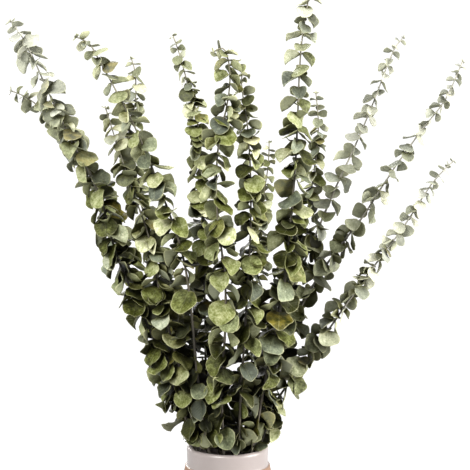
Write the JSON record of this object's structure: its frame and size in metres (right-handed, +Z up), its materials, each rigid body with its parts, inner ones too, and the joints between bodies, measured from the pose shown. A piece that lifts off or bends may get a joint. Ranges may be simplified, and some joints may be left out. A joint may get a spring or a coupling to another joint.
{
  "type": "bunch of eucalyptus branches in a vase",
  "caption": "Leafy preserved eucalyptus branches with round opposite leaves, standing in a two-tone ceramic vase.",
  "frame": {"origin": "centre of the vase's flat underside", "axes": "+Z up, from the vase's foot to the branch tips; -Y towards the viewer of the picture; +X to the viewer's right"},
  "size_m": [0.4923, 0.2339, 0.7233],
  "materials": {
    "vase_glaze": "satin",
    "vase_clay": "matte",
    "leaf": "matte",
    "stem": "matte"
  },
  "bodies": {
    "root": {"vase": "vase_glaze", "branch_right_middle": "leaf", "branch_right_upper": "leaf", "branch_back_right": "leaf", "branch_back_short": "leaf", "branch_back_middle": "leaf", "branch_back_left": "leaf", "branch_left_far": "leaf", "branch_left_tall": "leaf", "branch_left_inner": "leaf", "branch_front_left": "leaf", "branch_front_middle": "leaf", "branch_front_right": "leaf", "branch_centre_tall": "leaf", "branch_right_low": "leaf"}
  },
  "joints": []
}
